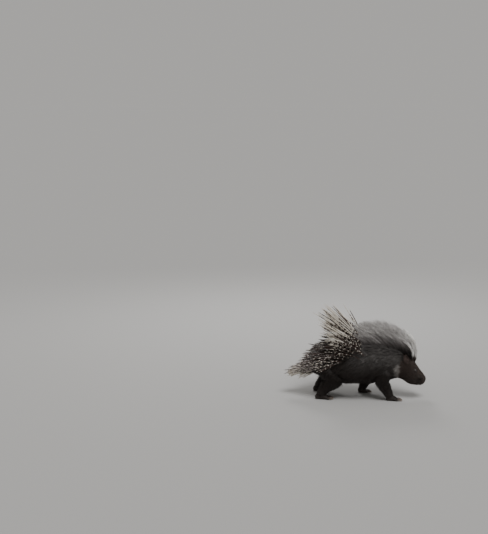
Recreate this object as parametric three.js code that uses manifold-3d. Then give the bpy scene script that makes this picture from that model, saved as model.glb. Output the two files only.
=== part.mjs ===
// A crested porcupine walking, life size, as a still museum model. Lengths are in millimetres.
// It faces +X with its left side at +Y, and stands on the plane z = 0.
// The near (right) forefoot is set forward, the far one is drawn back, and both hind feet stand
// under the rump. The crest on its nape is half raised, and so are the long quills of its back.
import * as THREE from "three";
import { mergeVertices } from "three/addons/utils/BufferGeometryUtils.js";
import Module from "manifold-3d";

const wasm = await Module();
wasm.setup();
const { Manifold, Mesh } = wasm;

// Driving sizes
const GAP = 0.3; // between parts that touch
const SHOULDER_X = 150;
const CHEST_HALF_DEPTH = 102;
const CHEST_HALF_WIDTH = 97;
const HIND_TRACK = 76; // half the distance between the hind feet
const FORE_TRACK = 70; // half the distance between the forefeet
const EYE_RADIUS = 7.5;
const QUILL_SPACING = 25;
const CREST_SPACING = 23;
const BRISTLE_SPACING = 38;
const BRISTLE_LENGTH = 72;
const RATTLES = 10; // hollow quills at the tip of the tail

const UP = new THREE.Vector3(0, 0, 1);
const LEFT = new THREE.Vector3(0, 1, 0);
const BACK = new THREE.Vector3(-1, 0, 0);
const degrees = THREE.MathUtils.degToRad;
const lerp = THREE.MathUtils.lerp;
const vector = (x, y, z) => new THREE.Vector3(x, y, z);

THREE.MathUtils.seededRandom(11);
const between = (low, high) => lerp(low, high, THREE.MathUtils.seededRandom());

// Solids from three.js geometries

// A closed mesh as a solid that can be joined and cut, turned right side out.
function solidOf(geometry) {
  const loose = geometry.index ? geometry.toNonIndexed() : geometry;
  const bare = new THREE.BufferGeometry();
  bare.setAttribute("position", loose.getAttribute("position"));
  const merged = mergeVertices(bare, 1e-3);
  const vertProperties = merged.attributes.position.array;
  const triVerts = new Uint32Array(merged.index.array);
  const solid = new Manifold(new Mesh({ numProp: 3, vertProperties, triVerts }));
  if (solid.volume() > 0) return solid;
  for (let i = 0; i < triVerts.length; i += 3) {
    [triVerts[i + 1], triVerts[i + 2]] = [triVerts[i + 2], triVerts[i + 1]];
  }
  return new Manifold(new Mesh({ numProp: 3, vertProperties, triVerts }));
}

function geometryOf(solid) {
  const mesh = solid.getMesh();
  const geometry = new THREE.BufferGeometry();
  const position = new THREE.BufferAttribute(new Float32Array(mesh.vertProperties), 3);
  geometry.setAttribute("position", position);
  geometry.setIndex(new THREE.BufferAttribute(new Uint32Array(mesh.triVerts), 1));
  geometry.computeVertexNormals();
  return geometry;
}

const join = (solids) => solids.reduce((all, next) => all.add(next));
const cut = (solid, ...tools) => tools.reduce((left, tool) => left.subtract(tool), solid);

// The largest closed surface of a solid, without loose scraps or sealed hollows.
function largest(solid) {
  const pieces = solid.decompose();
  return pieces.reduce((best, piece) => (piece.volume() > best.volume() ? piece : best));
}

// Everything on one side of a plane, as a big box that starts half a gap before it.
function beyond(point, direction, early = GAP / 2) {
  const reach = 1600;
  const box = new THREE.BoxGeometry(reach, reach, reach);
  const way = direction.clone().normalize();
  const turn = new THREE.Quaternion().setFromUnitVectors(UP, way);
  const middle = point.clone().addScaledVector(way, reach / 2 - early);
  box.applyMatrix4(new THREE.Matrix4().compose(middle, turn, vector(1, 1, 1)));
  return solidOf(box);
}

// A ball stretched to three half sizes and turned so that its own z points along a direction.
function ovoid(centre, halves, along = UP, across = 10, high = 6) {
  const ball = new THREE.SphereGeometry(1, across, high);
  ball.rotateX(Math.PI / 2);
  const turn = new THREE.Quaternion().setFromUnitVectors(UP, along.clone().normalize());
  ball.applyMatrix4(new THREE.Matrix4().compose(centre, turn, halves));
  return solidOf(ball);
}

// Lofts: a limb is a smooth line of sections, each with its own reach up, down and sideways

const smooth = (points) => new THREE.CatmullRomCurve3(points, false, "catmullrom", 0.5);

function limb(stations) {
  return {
    centre: smooth(stations.map(([x, y, z]) => vector(x, y, z))),
    sizes: smooth(stations.map(([, , , up, down, side]) => vector(up, down, side))),
  };
}

function sectionAt(line, u) {
  const forward = line.centre.getTangent(u);
  const sideways = LEFT.clone().addScaledVector(forward, -LEFT.dot(forward)).normalize();
  return {
    centre: line.centre.getPoint(u),
    sizes: line.sizes.getPoint(u),
    forward,
    sideways,
    upward: new THREE.Vector3().crossVectors(forward, sideways),
  };
}

// A point of the surface. The angle runs from the left side (0) over the top (90 degrees).
function surfacePoint(line, u, angle, { grow = 0, power = 2 } = {}) {
  const s = sectionAt(line, u);
  const high = Math.sin(angle);
  const reach = high > 0 ? s.sizes.x : s.sizes.y;
  const squared = (value) => Math.sign(value) * Math.abs(value) ** (2 / power);
  return s.centre
    .addScaledVector(s.sideways, squared(Math.cos(angle)) * (s.sizes.z + grow))
    .addScaledVector(s.upward, squared(high) * (reach + grow));
}

// The closed skin of a limb from end to end, with a rounded cap at each.
function loft(line, shape = {}) {
  const { around = 12, rows = 8, startCap = 8, endCap = 8 } = shape;
  const { domeRows = 2, grow = 0, power = 2 } = shape;
  const rings = rows + 2 * domeRows;
  const skin = new THREE.SphereGeometry(1, around, rings);
  const position = skin.attributes.position;
  for (let ring = 0; ring <= rings; ring++) {
    const before = Math.max(0, domeRows - ring) / domeRows;
    const after = Math.max(0, ring - domeRows - rows) / domeRows;
    const dome = ((before + after) * Math.PI) / 2;
    const u = THREE.MathUtils.clamp((ring - domeRows) / rows, 0, 1);
    const s = sectionAt(line, u);
    const push = before > 0 ? -(startCap + grow) : endCap + grow;
    for (let step = 0; step <= around; step++) {
      const angle = ((step % around) / around) * 2 * Math.PI;
      const point = surfacePoint(line, u, angle, { grow, power });
      point.sub(s.centre).multiplyScalar(Math.cos(dome)).add(s.centre);
      point.addScaledVector(s.forward, push * Math.sin(dome));
      position.setXYZ(ring * (around + 1) + step, point.x, point.y, point.z);
    }
  }
  return solidOf(skin);
}

// Trunk: rump, body, neck and head on one line, from the tail root to the muzzle

const TRUNK = limb([
  [SHOULDER_X - 347, 0, 158, 40, 44, 58],
  [SHOULDER_X - 300, 0, 168, 66, 74, 92],
  [SHOULDER_X - 230, 0, 182, 94, 98, 112],
  [SHOULDER_X - 150, 0, 193, 107, 108, 117],
  [SHOULDER_X - 70, 0, 199, 104, 110, 110],
  [SHOULDER_X, 0, 197, 95, CHEST_HALF_DEPTH, CHEST_HALF_WIDTH],
  [SHOULDER_X + 55, 0, 190, 82, 88, 80],
  [SHOULDER_X + 95, 0, 176, 70, 78, 66],
  [SHOULDER_X + 130, 0, 152, 48, 66, 54],
  [SHOULDER_X + 162, 0, 122, 39, 58, 46],
  [SHOULDER_X + 185, 0, 104, 34, 42, 41],
  [SHOULDER_X + 197, 0, 96, 29, 31, 37],
]);
const SPANS = 11; // spaces between the trunk's stations
const NECK_STATION = 5.3; // where the neck starts
const HEAD_STATION = 6.65; // where the head starts
const TRUNK_POWER = 2.15;
const TRUNK_SHAPE = { startCap: 26, endCap: 20, domeRows: 3, around: 24, rows: 30 };

const trunkLoft = (grow) => loft(TRUNK, { ...TRUNK_SHAPE, power: TRUNK_POWER, grow });
const trunk = trunkLoft(0);
const trunkGrown = trunkLoft(GAP);
const trunkPoint = (station, angle) =>
  surfacePoint(TRUNK, station / SPANS, angle, { power: TRUNK_POWER });

// The space on the tail side (-1) or nose side (1) of a cut across the trunk.
function side(station, sign) {
  const s = sectionAt(TRUNK, station / SPANS);
  return beyond(s.centre, s.forward.multiplyScalar(sign));
}

// The skin at a place: its point, the way out of it, and the ways along and round it.
function skinAt(line, u, angle, power) {
  const step = 1e-3;
  const point = surfacePoint(line, u, angle, { power });
  const ahead = surfacePoint(line, Math.min(1, u + step), angle, { power });
  const behind = surfacePoint(line, Math.max(0, u - step), angle, { power });
  const along = ahead.sub(behind).normalize();
  const round = surfacePoint(line, u, angle + step, { power }).sub(point).normalize();
  const out = new THREE.Vector3().crossVectors(round, along).normalize();
  return { point, along, round, out };
}

// Eyes: small dark balls deep in their sockets

function eyePlace(sign) {
  const angle = Math.PI / 2 - sign * degrees(56);
  const { point, out } = skinAt(TRUNK, 8.45 / SPANS, angle, TRUNK_POWER);
  return { seat: point, out, middle: point.clone().addScaledVector(out, -3.6) };
}
const eye = (sign, grow = 0) => {
  const radius = EYE_RADIUS + grow;
  return ovoid(eyePlace(sign).middle, vector(radius, radius, radius), LEFT, 12, 8);
};

function lids(sign) {
  const { seat, out } = eyePlace(sign);
  const rim = new THREE.TorusGeometry(EYE_RADIUS + 0.6, 2.6, 5, 12);
  const turn = new THREE.Quaternion().setFromUnitVectors(UP, out);
  rim.applyMatrix4(new THREE.Matrix4().compose(seat, turn, vector(1, 1, 1)));
  return solidOf(rim);
}

// Muzzle: whisker pads, nostrils, and lips on each side of the mouth's line

const MUZZLE = sectionAt(TRUNK, 1);
const muzzlePoint = (ahead, high, aside) =>
  MUZZLE.centre
    .clone()
    .addScaledVector(MUZZLE.forward, ahead)
    .addScaledVector(MUZZLE.upward, high)
    .addScaledVector(MUZZLE.sideways, aside);
const MOUTH_LINE = 2.6; // width of the groove between the lips
const LIPS = 11;

// A flat disc through the mouth, of a given thickness and length.
const mouthDisc = (thick, long) =>
  ovoid(muzzlePoint(-14, -15, 0), vector(thick / 2, 60, long / 2), MUZZLE.forward, 14, 6);

function headCore() {
  const pads = [1, -1].map((sign) =>
    ovoid(muzzlePoint(-6, 1.5, sign * 19), vector(19, 18, 23), MUZZLE.forward, 10, 6),
  );
  const lips = mouthDisc(LIPS, 84).intersect(trunkLoft(2.2));
  const groove = cut(mouthDisc(MOUTH_LINE, 76), trunkLoft(-4));
  const nostrils = [1, -1].map((sign) =>
    ovoid(muzzlePoint(17, 12, sign * 10), vector(5.5, 3, 8), MUZZLE.forward, 6, 4),
  );
  const head = cut(trunk, side(HEAD_STATION, -1));
  const whole = join([head, ...pads, lips, lids(1), lids(-1)]);
  return largest(cut(whole, groove, ...nostrils, eye(1, GAP), eye(-1, GAP)));
}

// Ears: a thin cup each, with its mouth turned forwards and out

function ear(sign) {
  const seat = trunkPoint(7.1, Math.PI / 2 - sign * degrees(58));
  const facing = vector(0.5, 0.82 * sign, 0.22).normalize();
  const middle = seat.clone().add(vector(-5, 6 * sign, 12));
  const outer = ovoid(middle, vector(16, 22, 9), facing, 12, 6);
  const hollow = ovoid(middle.clone().addScaledVector(facing, 5.5), vector(12.5, 18, 9), facing, 10, 6);
  return largest(cut(outer, hollow, trunkGrown));
}

// Legs: from inside the body down to the wrist or ankle

const LEGS = {
  fore_right: limb([
    [SHOULDER_X + 2, -58, 172, 44, 44, 36],
    [SHOULDER_X - 10, -FORE_TRACK + 1, 112, 35, 37, 32],
    [SHOULDER_X + 8, -FORE_TRACK - 1, 66, 28, 29, 25],
    [SHOULDER_X + 30, -FORE_TRACK, 24, 22, 24, 21],
  ]),
  fore_left: limb([
    [SHOULDER_X, 58, 172, 44, 44, 36],
    [SHOULDER_X - 38, FORE_TRACK - 1, 116, 36, 36, 31],
    [SHOULDER_X - 86, FORE_TRACK + 1, 72, 28, 29, 25],
    [SHOULDER_X - 112, FORE_TRACK, 26, 21, 22, 20],
  ]),
  hind_right: limb([
    [-130, -60, 162, 66, 58, 52],
    [-116, -HIND_TRACK - 2, 108, 50, 46, 37],
    [-152, -HIND_TRACK - 2, 64, 32, 31, 27],
    [-180, -HIND_TRACK, 26, 23, 24, 22],
  ]),
  hind_left: limb([
    [-134, 60, 162, 66, 58, 52],
    [-124, HIND_TRACK + 2, 108, 50, 46, 37],
    [-166, HIND_TRACK + 2, 64, 32, 31, 27],
    [-197, HIND_TRACK, 26, 23, 24, 22],
  ]),
};
const ANKLE_Z = 31; // height of the cut between leg and foot
const legLoft = (name) => loft(LEGS[name], { around: 10, rows: 6, startCap: 14, endCap: 12 });

function leg(name) {
  return largest(cut(legLoft(name), trunkGrown, beyond(vector(0, 0, ANKLE_Z), vector(0, 0, -1))));
}

// Feet: flat soles, five short toes and blunt digging claws

const FEET = {
  fore_right: { heel: 160, length: 56, side: -FORE_TRACK, toes: 4, claw: 17 },
  fore_left: { heel: 14, length: 46, side: FORE_TRACK, toes: 4, claw: 15 },
  hind_right: { heel: -209, length: 70, side: -HIND_TRACK, toes: 5, claw: 14 },
  hind_left: { heel: -226, length: 70, side: HIND_TRACK, toes: 5, claw: 14 },
};

function foot(name) {
  const { heel, length, side: y, toes, claw } = FEET[name];
  const sole = loft(
    limb([
      [heel + 9, y, 13, 15, 16, 16],
      [heel + length * 0.5, y, 12, 17, 15, 19],
      [heel + length - 8, y, 8, 13, 11, 22],
    ]),
    { around: 8, rows: 3, startCap: 9, endCap: 7, power: 2.4 },
  );
  const pieces = [sole, legLoft(name)];
  for (let toe = 0; toe < toes; toe++) {
    const spread = toe / (toes - 1) - 0.5;
    const way = vector(1, spread * 0.4, 0).normalize();
    const tip = vector(heel + length + 3 - 18 * spread * spread, y + spread * 10.8 * (toes - 1), 7);
    pieces.push(ovoid(tip, vector(6, 5.3, 12), way, 5, 4));
    const nail = new THREE.ConeGeometry(3.4, claw + 8, 4, 2);
    nail.translate(0, (claw + 8) / 2 - 3, 0);
    const position = nail.attributes.position;
    for (let i = 0; i < position.count; i++) {
      const along = position.getY(i);
      position.setZ(i, position.getZ(i) + 0.012 * along * along);
    }
    const turn = new THREE.Matrix4().makeBasis(vector(way.y, -way.x, 0), way, vector(0, 0, -1));
    nail.applyMatrix4(turn.setPosition(tip.x + way.x * 8, tip.y + way.y * 8, 8.5));
    pieces.push(solidOf(nail));
  }
  const above = beyond(vector(0, 0, ANKLE_Z), vector(0, 0, 1));
  const below = beyond(vector(0, 0, 0), vector(0, 0, -1), 0);
  return largest(cut(join(pieces), above, below));
}

// Tail: a short stub that its own quills hide

const TAIL = limb([
  [-190, 0, 152, 28, 28, 30],
  [-232, 0, 147, 24, 24, 26],
  [-272, 0, 138, 18, 18, 20],
  [-300, 0, 130, 11, 11, 12],
]);
const tailCore = largest(
  cut(loft(TAIL, { around: 12, rows: 6, startCap: 8, endCap: 10 }), trunkGrown),
);

// Strands: bent and tapering, with their roots sunk in the skin they grow from

const ROOT = 15; // how far a root runs on inside
const GUARD = 0.5; // room kept round a strand when it is set beside another part
const TRIES = 9;

// profile holds [place along it, width, thickness] from root to tip, and raise is the angle from
// the way it lies to the way it starts, both in the plane of lie and out.
function strand({ root, out, lie, raise, turn, length, roll = 0, sides = 4, profile }, grow = 0) {
  const start = lie.clone().multiplyScalar(Math.cos(raise)).addScaledVector(out, Math.sin(raise));
  const bend = lie.clone().multiplyScalar(Math.sin(raise)).addScaledVector(out, -Math.cos(raise));
  const across = new THREE.Vector3().crossVectors(start, bend);
  const whole = length + ROOT + grow;
  const curl = Math.max(turn, 1e-3) / whole;
  const steps = profile.length - 1;
  const pointed = profile[steps][1] === 0;
  const shape = new THREE.CylinderGeometry(pointed ? 0 : 1, 1, 1, sides, steps);
  const position = shape.attributes.position;
  for (let i = 0; i < position.count; i++) {
    const [place, width, thick] = profile[Math.round((position.getY(i) + 0.5) * steps)];
    const bent = curl * place * whole;
    const inner = start.clone().multiplyScalar(-Math.sin(bent)).addScaledVector(bend, Math.cos(bent));
    const wide = inner.clone().multiplyScalar(Math.cos(roll)).addScaledVector(across, Math.sin(roll));
    const thin = inner.multiplyScalar(-Math.sin(roll)).addScaledVector(across, Math.cos(roll));
    const point = root
      .clone()
      .addScaledVector(start, Math.sin(bent) / curl - ROOT)
      .addScaledVector(bend, (1 - Math.cos(bent)) / curl)
      .addScaledVector(wide, position.getX(i) * (width / 2 + grow))
      .addScaledVector(thin, position.getZ(i) * (thick / 2 + grow));
    position.setXYZ(i, point.x, point.y, point.z);
  }
  return solidOf(shape);
}

// A core with its strands, each raised and shortened until it is clear of the other parts.
function dress(core, strands, others) {
  const kept = [core];
  for (const first of strands) {
    for (let attempt = 0; attempt < TRIES; attempt++) {
      const raise = first.raise + degrees(6) * attempt;
      const length = first.length * (1 - 0.05 * attempt);
      const guard = strand({ ...first, raise, length }, GUARD);
      if (guard.boundingBox().min[2] < 1) continue;
      if (others.every((other) => guard.intersect(other).isEmpty())) {
        kept.push(strand({ ...first, raise, length }));
        break;
      }
    }
  }
  return largest(join(kept));
}

// The values of a table's row at a place, between its two nearest rows.
function rowAt(rows, place) {
  const next = rows.findIndex(([at]) => at >= place);
  if (next <= 0) return rows[next < 0 ? rows.length - 1 : 0].slice(1);
  const [low, high] = [rows[next - 1], rows[next]];
  const part = (place - low[0]) / (high[0] - low[0]);
  return low.slice(1).map((value, i) => lerp(value, high[i + 1], part));
}

// Places spread evenly over the trunk's skin, in staggered rows across it.
function* places({ from, to, spacing, low, high }) {
  let row = 0;
  let station = from;
  while (station < to) {
    const s = sectionAt(TRUNK, station / SPANS);
    const arc = ((high - low) * (s.sizes.x + s.sizes.z)) / 2;
    const count = Math.max(1, Math.round(arc / spacing));
    for (let i = 0; i < count; i++) {
      const shift = (row % 2 ? 0.25 : -0.25) + between(-0.15, 0.15);
      const angle = lerp(low, high, (i + 0.5 + shift) / count);
      const at = station + between(-0.12, 0.12) * (spacing / 35);
      yield { station: THREE.MathUtils.clamp(at, 0, to), angle };
    }
    const ahead = sectionAt(TRUNK, (station + 0.1) / SPANS).centre;
    station += (0.1 * spacing) / ahead.distanceTo(s.centre);
    row += 1;
  }
}

// Quills of the back and rump: station, rise over the level, turn, length, width, spread to the
// side, and how fast they get shorter down the flank
const QUILLS = [
  [0.1, degrees(-4), degrees(8), 104, 5, 0.3, 0.3],
  [0.9, degrees(0), degrees(8), 118, 6, 0.28, 0.3],
  [1.6, degrees(3), degrees(10), 122, 6.2, 0.28, 0.3],
  [2.1, degrees(8), degrees(10), 128, 6.2, 0.32, 0.5],
  [2.35, degrees(18), degrees(10), 132, 6, 0.45, 0.8],
  [2.6, degrees(42), degrees(10), 178, 6, 0.6, 1],
  [3, degrees(47), degrees(12), 264, 5.6, 0.7, 1],
  [3.4, degrees(54), degrees(12), 276, 5.2, 0.7, 1],
  [3.75, degrees(60), degrees(12), 185, 4.8, 0.65, 1],
];

function quillAt({ station, angle }) {
  const [rise, turn, length, width, spread, fall] = rowAt(QUILLS, station);
  const down = Math.abs(angle - Math.PI / 2) / (Math.PI / 2);
  const up = rise - degrees(14) * down + degrees(between(-4, 4));
  const lie = vector(-Math.cos(up), spread * Math.cos(angle), Math.sin(up)).normalize();
  return {
    root: trunkPoint(station, angle),
    out: vector(0, 0, 1).addScaledVector(lie, -lie.z).normalize(),
    lie,
    raise: 0,
    turn: turn * between(0.5, 1.5),
    length: length * (1 - fall * down * down) * between(0.86, 1.03),
    sides: 3,
    profile: [
      [0, width * 0.8, width * 0.8],
      [0.5, width, width],
      [1, 0, 0],
    ],
  };
}

// Crest of the head, nape and back: station, raise, turn and length
const CREST = [
  [3.8, degrees(54), degrees(36), 132],
  [4.4, degrees(58), degrees(36), 156],
  [5, degrees(63), degrees(38), 174],
  [5.55, degrees(69), degrees(38), 186],
  [6.1, degrees(75), degrees(42), 194],
  [6.55, degrees(82), degrees(48), 188],
  [7, degrees(92), degrees(56), 178],
  [7.4, degrees(103), degrees(72), 186],
  [7.8, degrees(118), degrees(98), 196],
];
const CREST_LEAN = 0.6; // how far a lock at the side leans out with the skin

function crestLockAt({ station, angle }) {
  const lean = (angle - Math.PI / 2) * CREST_LEAN;
  const [raise, turn, length] = rowAt(CREST, station);
  const width = between(15, 20);
  const shorter = 1 - 0.25 * Math.abs(lean);
  return {
    root: trunkPoint(station, angle),
    out: vector(0, -Math.sin(lean), Math.cos(lean)),
    lie: BACK,
    raise: raise + degrees(between(-4, 4)),
    turn: turn * between(0.88, 1.12),
    length: length * shorter * between(0.9, 1.02),
    roll: between(-0.9, 0.9),
    profile: [
      [0, width * 0.7, 4],
      [0.3, width, 3.6],
      [0.55, width * 0.9, 3.2],
      [0.8, width * 0.55, 2.4],
      [1, 0, 0],
    ],
  };
}

// The foremost locks of the crest stand close together on the brow
function* brow() {
  for (const aside of [-2, -1, 0, 1, 2]) {
    yield { station: 7.78 - 0.09 * Math.abs(aside), angle: Math.PI / 2 + 0.17 * aside };
  }
}

// Flat dark bristles of the neck, shoulders and flanks, in locks that lie back and down
function bristleLockAt({ station, angle }) {
  const { point, along, round, out } = skinAt(TRUNK, station / SPANS, angle, TRUNK_POWER);
  const down = round.multiplyScalar(Math.cos(angle) > 0 ? -1 : 1);
  const fall = degrees(between(14, 30));
  return {
    root: point,
    out,
    lie: along.multiplyScalar(-Math.cos(fall)).addScaledVector(down, Math.sin(fall)),
    raise: degrees(between(11, 15)),
    turn: degrees(between(10, 18)),
    length: BRISTLE_LENGTH * between(0.85, 1.1),
    roll: Math.PI / 2,
    profile: [
      [0, 18, 4.5],
      [0.5, 22, 3.6],
      [1, 0, 0],
    ],
  };
}

function coatOfTrunk() {
  const top = Math.PI / 2;
  const spots = (region, make) => Array.from(places(region)).map((at) => ({ at, make }));
  const quilled = { from: 0.1, to: 3.75, spacing: QUILL_SPACING, low: degrees(14), high: degrees(166) };
  const crested = { from: 3.8, to: 7.45, spacing: CREST_SPACING, low: top - 0.6, high: top + 0.6 };
  const all = [...spots(quilled, quillAt), ...spots(crested, crestLockAt)];
  for (const at of brow()) all.push({ at, make: crestLockAt });
  for (const [low, high] of [[-0.85, 0.3], [Math.PI - 0.3, Math.PI + 0.85]]) {
    all.push(...spots({ from: 0.7, to: 3.9, spacing: BRISTLE_SPACING, low, high }, bristleLockAt));
  }
  for (const [low, high] of [[-0.75, 0.95], [Math.PI - 0.95, Math.PI + 0.75]]) {
    all.push(...spots({ from: 4, to: 7, spacing: BRISTLE_SPACING, low, high }, bristleLockAt));
  }
  const nodeOf = ({ station }) => {
    if (station > HEAD_STATION) return "head";
    return station > NECK_STATION ? "neck" : "torso";
  };
  const strands = { torso: [], neck: [], head: [] };
  for (const { at, make } of all) strands[nodeOf(at)].push(make(at));
  return strands;
}

// White quills of the tail, and the hollow rattle quills on thin stalks at its tip
function coatOfTail() {
  const strands = [];
  for (let ring = 0; ring < 4; ring++) {
    const u = lerp(0.3, 0.95, ring / 3);
    const count = 9 - ring;
    for (let i = 0; i < count; i++) {
      const angle = ((i + (ring % 2) / 2) / count) * 2 * Math.PI;
      const { point, along, out } = skinAt(TAIL, u, angle, 2);
      const profile = [
        [0, 4.4, 4.4],
        [0.5, 5.4, 5.4],
        [1, 0, 0],
      ];
      const raise = degrees(between(24, 38));
      const length = between(56, 74);
      strands.push({ root: point, out, lie: along, raise, turn: 0.12, length, sides: 3, profile });
    }
  }
  const end = sectionAt(TAIL, 1);
  for (let i = 0; i < RATTLES; i++) {
    const angle = (i / RATTLES) * 2 * Math.PI;
    const ring = i % 2 ? 4 : 8;
    const aside = vector(0, Math.cos(angle), 0).addScaledVector(end.upward, Math.sin(angle));
    const profile = [
      [0, 2, 2],
      [0.55, 1.8, 1.8],
      [0.62, 6.4, 6.4],
      [1, 5.6, 5.6],
    ];
    strands.push({
      root: end.centre.clone().addScaledVector(aside, ring).addScaledVector(end.forward, 4),
      out: aside.normalize(),
      lie: end.forward,
      raise: degrees(i % 2 ? 9 : 20),
      turn: 0.1,
      length: between(46, 60),
      sides: 4,
      profile,
    });
  }
  return strands;
}

// Materials

const finish = (color, roughness, metalness = 0) =>
  new THREE.MeshStandardMaterial({ color, roughness, metalness });
const coat = finish(0x2c2522, 0.85);
const skin = finish(0x4a3a33, 0.8);
const quill = finish(0xb9b0a2, 0.55);
const glossy = finish(0x0b0908, 0.12);

// Assembly

const part = {};
for (const name of Object.keys(LEGS)) {
  const [pair, hand] = name.split("_");
  part[`${pair}_leg_${hand}`] = [leg(name), coat];
  part[`${pair}_foot_${hand}`] = [foot(name), skin];
}
for (const [hand, sign] of [["left", 1], ["right", -1]]) {
  part[`ear_${hand}`] = [ear(sign), skin];
  part[`eye_${hand}`] = [eye(sign), glossy];
}
const limbs = Object.values(part).map(([solid]) => solid);
const headBare = headCore();
const neckBare = largest(cut(trunk, side(NECK_STATION, -1), side(HEAD_STATION, 1)));
const torsoBare = largest(cut(trunk, side(NECK_STATION, 1)));

const strands = coatOfTrunk();
const torso = dress(torsoBare, strands.torso, [neckBare, headBare, tailCore, ...limbs]);
const neck = dress(neckBare, strands.neck, [torso, headBare, ...limbs]);
const head = dress(headBare, strands.head, [torso, neck, ...limbs]);
const tail = dress(tailCore, coatOfTail(), [torso, ...limbs]);
Object.assign(part, { torso: [torso, coat], neck: [neck, coat], head: [head, coat], tail: [tail, quill] });

const porcupine = new THREE.Group();
for (const [name, [solid, material]] of Object.entries(part)) {
  const mesh = new THREE.Mesh(geometryOf(solid), material);
  mesh.name = name;
  porcupine.add(mesh);
}

// The origin is under the middle of the animal's own box
const box = new THREE.Box3().setFromObject(porcupine);
const middle = box.getCenter(new THREE.Vector3());
porcupine.position.set(-middle.x, -middle.y, -box.min.z);

export default porcupine;
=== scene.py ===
# A crested porcupine in mid stride, life size, as a museum shows one. It faces +X with its left
# side at +Y. One skin carries all the coat: short face hair, flat dark bristles, the pale crest,
# banded quills over the back and rump, and a short tail with white quills and rattles.
import math

import bmesh
import bpy
import numpy as np
from mathutils import Matrix, Vector, kdtree


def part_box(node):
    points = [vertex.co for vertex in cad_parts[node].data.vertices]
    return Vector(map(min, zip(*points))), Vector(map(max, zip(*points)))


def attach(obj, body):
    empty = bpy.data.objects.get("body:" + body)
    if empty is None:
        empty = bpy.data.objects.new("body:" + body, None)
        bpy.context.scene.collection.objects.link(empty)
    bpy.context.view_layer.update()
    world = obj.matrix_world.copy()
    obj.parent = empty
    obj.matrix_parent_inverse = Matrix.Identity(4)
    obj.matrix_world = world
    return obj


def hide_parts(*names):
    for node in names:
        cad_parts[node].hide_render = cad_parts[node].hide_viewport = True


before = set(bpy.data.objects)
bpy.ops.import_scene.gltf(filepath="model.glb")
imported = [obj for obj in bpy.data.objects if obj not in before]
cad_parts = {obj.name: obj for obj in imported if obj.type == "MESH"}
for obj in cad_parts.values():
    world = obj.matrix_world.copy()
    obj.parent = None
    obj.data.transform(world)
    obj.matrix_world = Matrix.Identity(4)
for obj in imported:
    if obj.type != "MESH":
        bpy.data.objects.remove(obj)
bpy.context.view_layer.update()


# Skin: the hide of the whole animal, from the rump to the muzzle and down to the soles. Rounded
# forms for the trunk, legs, feet, toes and tail are fused into one closed surface, which lies a
# little inside the solids, and the lids, nostrils and lips are pressed into it afterwards.
MM = 0.001
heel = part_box("hind_foot_right")[0]
between_eyes = (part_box("eye_left")[0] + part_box("eye_right")[1]) / 2
HOME = np.array([heel.x + 209 * MM, between_eyes.y, 0.0])
Y = np.array([0.0, 1.0, 0.0])
Z = np.array([0.0, 0.0, 1.0])


def at_home(rows):
    """Rows in millimetres as rows in metres, moved to where the model stands."""
    rows = np.array(rows, float) * MM
    rows[:, :3] += HOME
    return rows


# Each row: middle of the section, then its reach up, down and sideways
TRUNK = at_home([
    [-197, 0, 158, 40, 44, 58],
    [-150, 0, 168, 66, 74, 92],
    [-80, 0, 182, 94, 98, 112],
    [0, 0, 193, 107, 108, 117],
    [80, 0, 199, 104, 110, 110],
    [150, 0, 197, 95, 102, 97],
    [205, 0, 190, 82, 88, 80],
    [245, 0, 176, 70, 78, 66],
    [280, 0, 152, 48, 66, 54],
    [312, 0, 122, 39, 58, 46],
    [335, 0, 104, 34, 42, 41],
    [347, 0, 96, 29, 31, 37],
])
TAIL = at_home([
    [-190, 0, 152, 28, 28, 30],
    [-232, 0, 147, 24, 24, 26],
    [-272, 0, 138, 18, 18, 20],
    [-300, 0, 130, 11, 11, 12],
])
LEGS = {
    "fore_right": [[152, -58, 172, 44, 44, 36], [140, -69, 112, 35, 37, 32],
                   [158, -71, 66, 28, 29, 25], [180, -70, 24, 22, 24, 21]],
    "fore_left": [[150, 58, 172, 44, 44, 36], [112, 69, 116, 36, 36, 31],
                  [64, 71, 72, 28, 29, 25], [38, 70, 26, 21, 22, 20]],
    "hind_right": [[-130, -60, 162, 66, 58, 52], [-116, -78, 108, 50, 46, 37],
                   [-152, -78, 64, 32, 31, 27], [-180, -76, 26, 23, 24, 22]],
    "hind_left": [[-134, 60, 162, 66, 58, 52], [-124, 78, 108, 50, 46, 37],
                  [-166, 78, 64, 32, 31, 27], [-197, 76, 26, 23, 24, 22]],
}
# Each foot: x of its heel, its length, its side and its toes
FEET = {
    "fore_right": (160, 56, -70, 4),
    "fore_left": (14, 46, 70, 4),
    "hind_right": (-209, 70, -76, 5),
    "hind_left": (-226, 70, 76, 5),
}
SPANS = len(TRUNK) - 1
TRUNK_POWER = 2.15
SKIN_DEPTH = 2.0 * MM  # how far the skin lies inside the solids
VOXEL = 3.1 * MM
NUDGE = 1e-3  # a small step along or round a limb, to find which way its skin runs


def unit(vectors):
    return vectors / np.maximum(np.linalg.norm(vectors, axis=-1, keepdims=True), 1e-12)


def spline(rows, u):
    """The smooth line through the rows, at places u from 0 to 1."""
    spans = len(rows) - 1
    place = np.clip(u, 0, 1) * spans
    i = np.minimum(place.astype(int), spans - 1)
    w = (place - i)[:, None]
    longer = np.vstack([2 * rows[0] - rows[1], rows, 2 * rows[-1] - rows[-2]])
    a, b, c, d = longer[i], longer[i + 1], longer[i + 2], longer[i + 3]
    return b + 0.5 * w * (c - a + w * (2 * a - 5 * b + 4 * c - d + w * (3 * (b - c) + d - a)))


def sections(rows, u):
    """Middle, sizes, and the ways forward, sideways and upward of a limb at places u."""
    u = np.atleast_1d(np.asarray(u, float))
    at = spline(rows, u)
    ahead = spline(rows, np.minimum(u + 1e-4, 1)) - spline(rows, np.maximum(u - 1e-4, 0))
    forward = unit(ahead[:, :3])
    sideways = unit(Y - forward * forward[:, 1:2])
    return at[:, :3], at[:, 3:], forward, sideways, np.cross(forward, sideways)


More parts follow.
